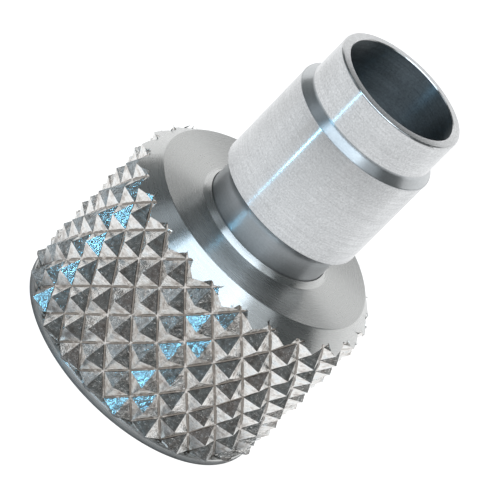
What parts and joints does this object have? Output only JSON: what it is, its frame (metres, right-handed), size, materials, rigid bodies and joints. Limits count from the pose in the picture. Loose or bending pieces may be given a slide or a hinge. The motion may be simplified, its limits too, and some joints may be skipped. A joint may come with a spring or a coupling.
{
  "type": "knurled union coupling",
  "caption": "Hand-tightened union coupling: a diamond-knurled nut held captive on a stepped hollow spigot that spins and floats in it.",
  "frame": {"origin": "centre of the nut's rim, on the surface that the coupling stands on", "axes": "+Z along the axis from the nut's rim to the spigot's tip"},
  "size_m": [0.021, 0.021, 0.0288],
  "materials": {
    "nut_steel": "turned, with a coarse raised diamond knurl",
    "spigot_steel": "fine turned satin",
    "bronze": "plain turned bronze",
    "spring_wire": "drawn wire",
    "black_rubber": "moulded matte"
  },
  "bodies": {
    "nut": {"union_nut": "nut_steel"},
    "washer": {"slip_washer": "bronze"},
    "spigot": {"spigot": "spigot_steel", "thrust_collar": "spigot_steel", "retaining_ring": "spring_wire", "stem_o_ring": "black_rubber"}
  },
  "joints": [
    {"name": "nut_float", "type": "slide", "parent": "nut", "child": "washer", "axis": [0, 0, 1], "range_m": [-0.0016, 0]},
    {"name": "nut_swivel", "type": "hinge", "parent": "washer", "child": "spigot", "pos_m": [0, 0, 0.014], "axis": [0, 0, 1], "continuous": true}
  ]
}
